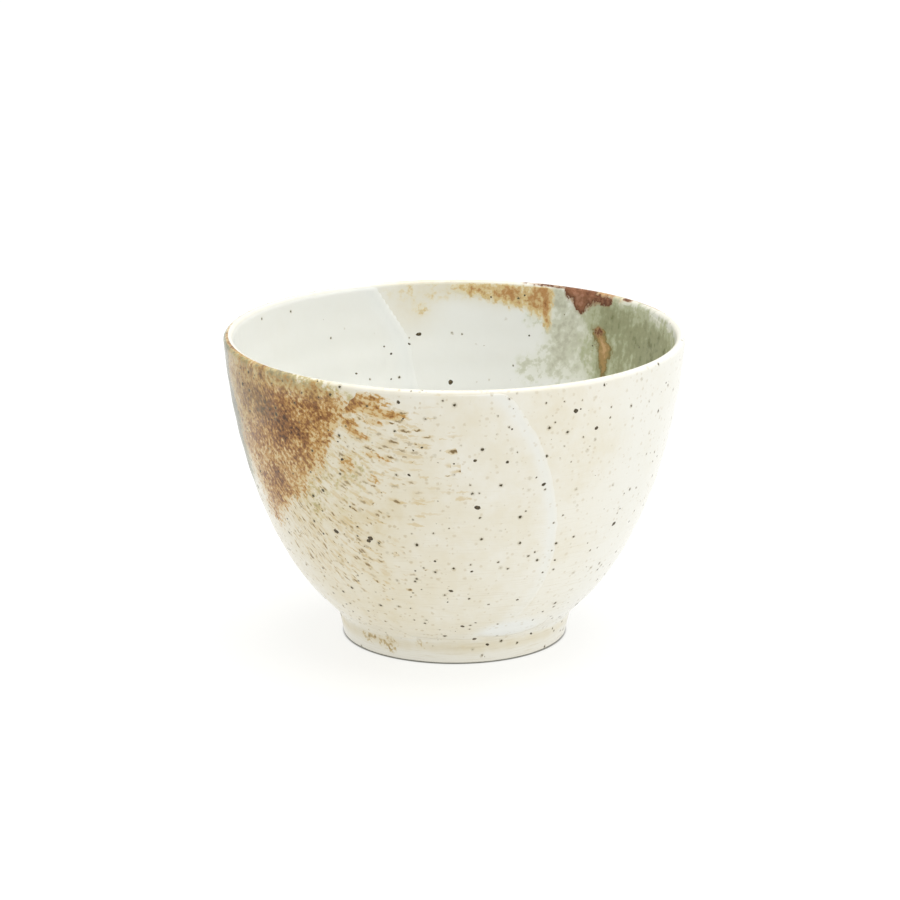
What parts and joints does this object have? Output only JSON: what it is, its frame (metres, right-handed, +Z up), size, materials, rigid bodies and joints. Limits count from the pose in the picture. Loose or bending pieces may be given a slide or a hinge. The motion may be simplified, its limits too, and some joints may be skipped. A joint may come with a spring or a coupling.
{
  "type": "matcha bowl",
  "caption": "Thrown stoneware tea bowl on a turned foot ring, with two white glaze dips and iron and ash splashes as separate coats.",
  "frame": {"origin": "centre of the foot ring's standing face", "axes": "+Z up along the throwing axis, -Y towards the bowl's front, +X to the right seen from the front"},
  "size_m": [0.12, 0.1202, 0.081],
  "materials": {
    "stoneware": "bare fired clay, fine sandy tooth",
    "white_glaze": "glossy cream white with iron specks",
    "thin_wash": "thin semi-gloss ochre wash over clay",
    "second_white": "glossy cooler white, thicker coat",
    "iron_glaze": "glossy rust brown, granular, streaked",
    "ash_glaze": "glossy mottled olive green",
    "red_iron_glaze": "glossy red brown bead",
    "amber_glaze": "glossy translucent amber"
  },
  "bodies": {
    "root": {"clay_wall": "stoneware", "foot_ring": "stoneware", "outside_glaze": "white_glaze", "inside_glaze": "white_glaze", "foot_glaze": "thin_wash", "recess_glaze": "thin_wash", "second_dip_outside": "second_white", "second_dip_inside": "second_white", "iron_splash_outside": "iron_glaze", "ash_splash_inside": "ash_glaze", "iron_run_inside": "red_iron_glaze", "amber_band_inside": "amber_glaze"}
  },
  "joints": []
}
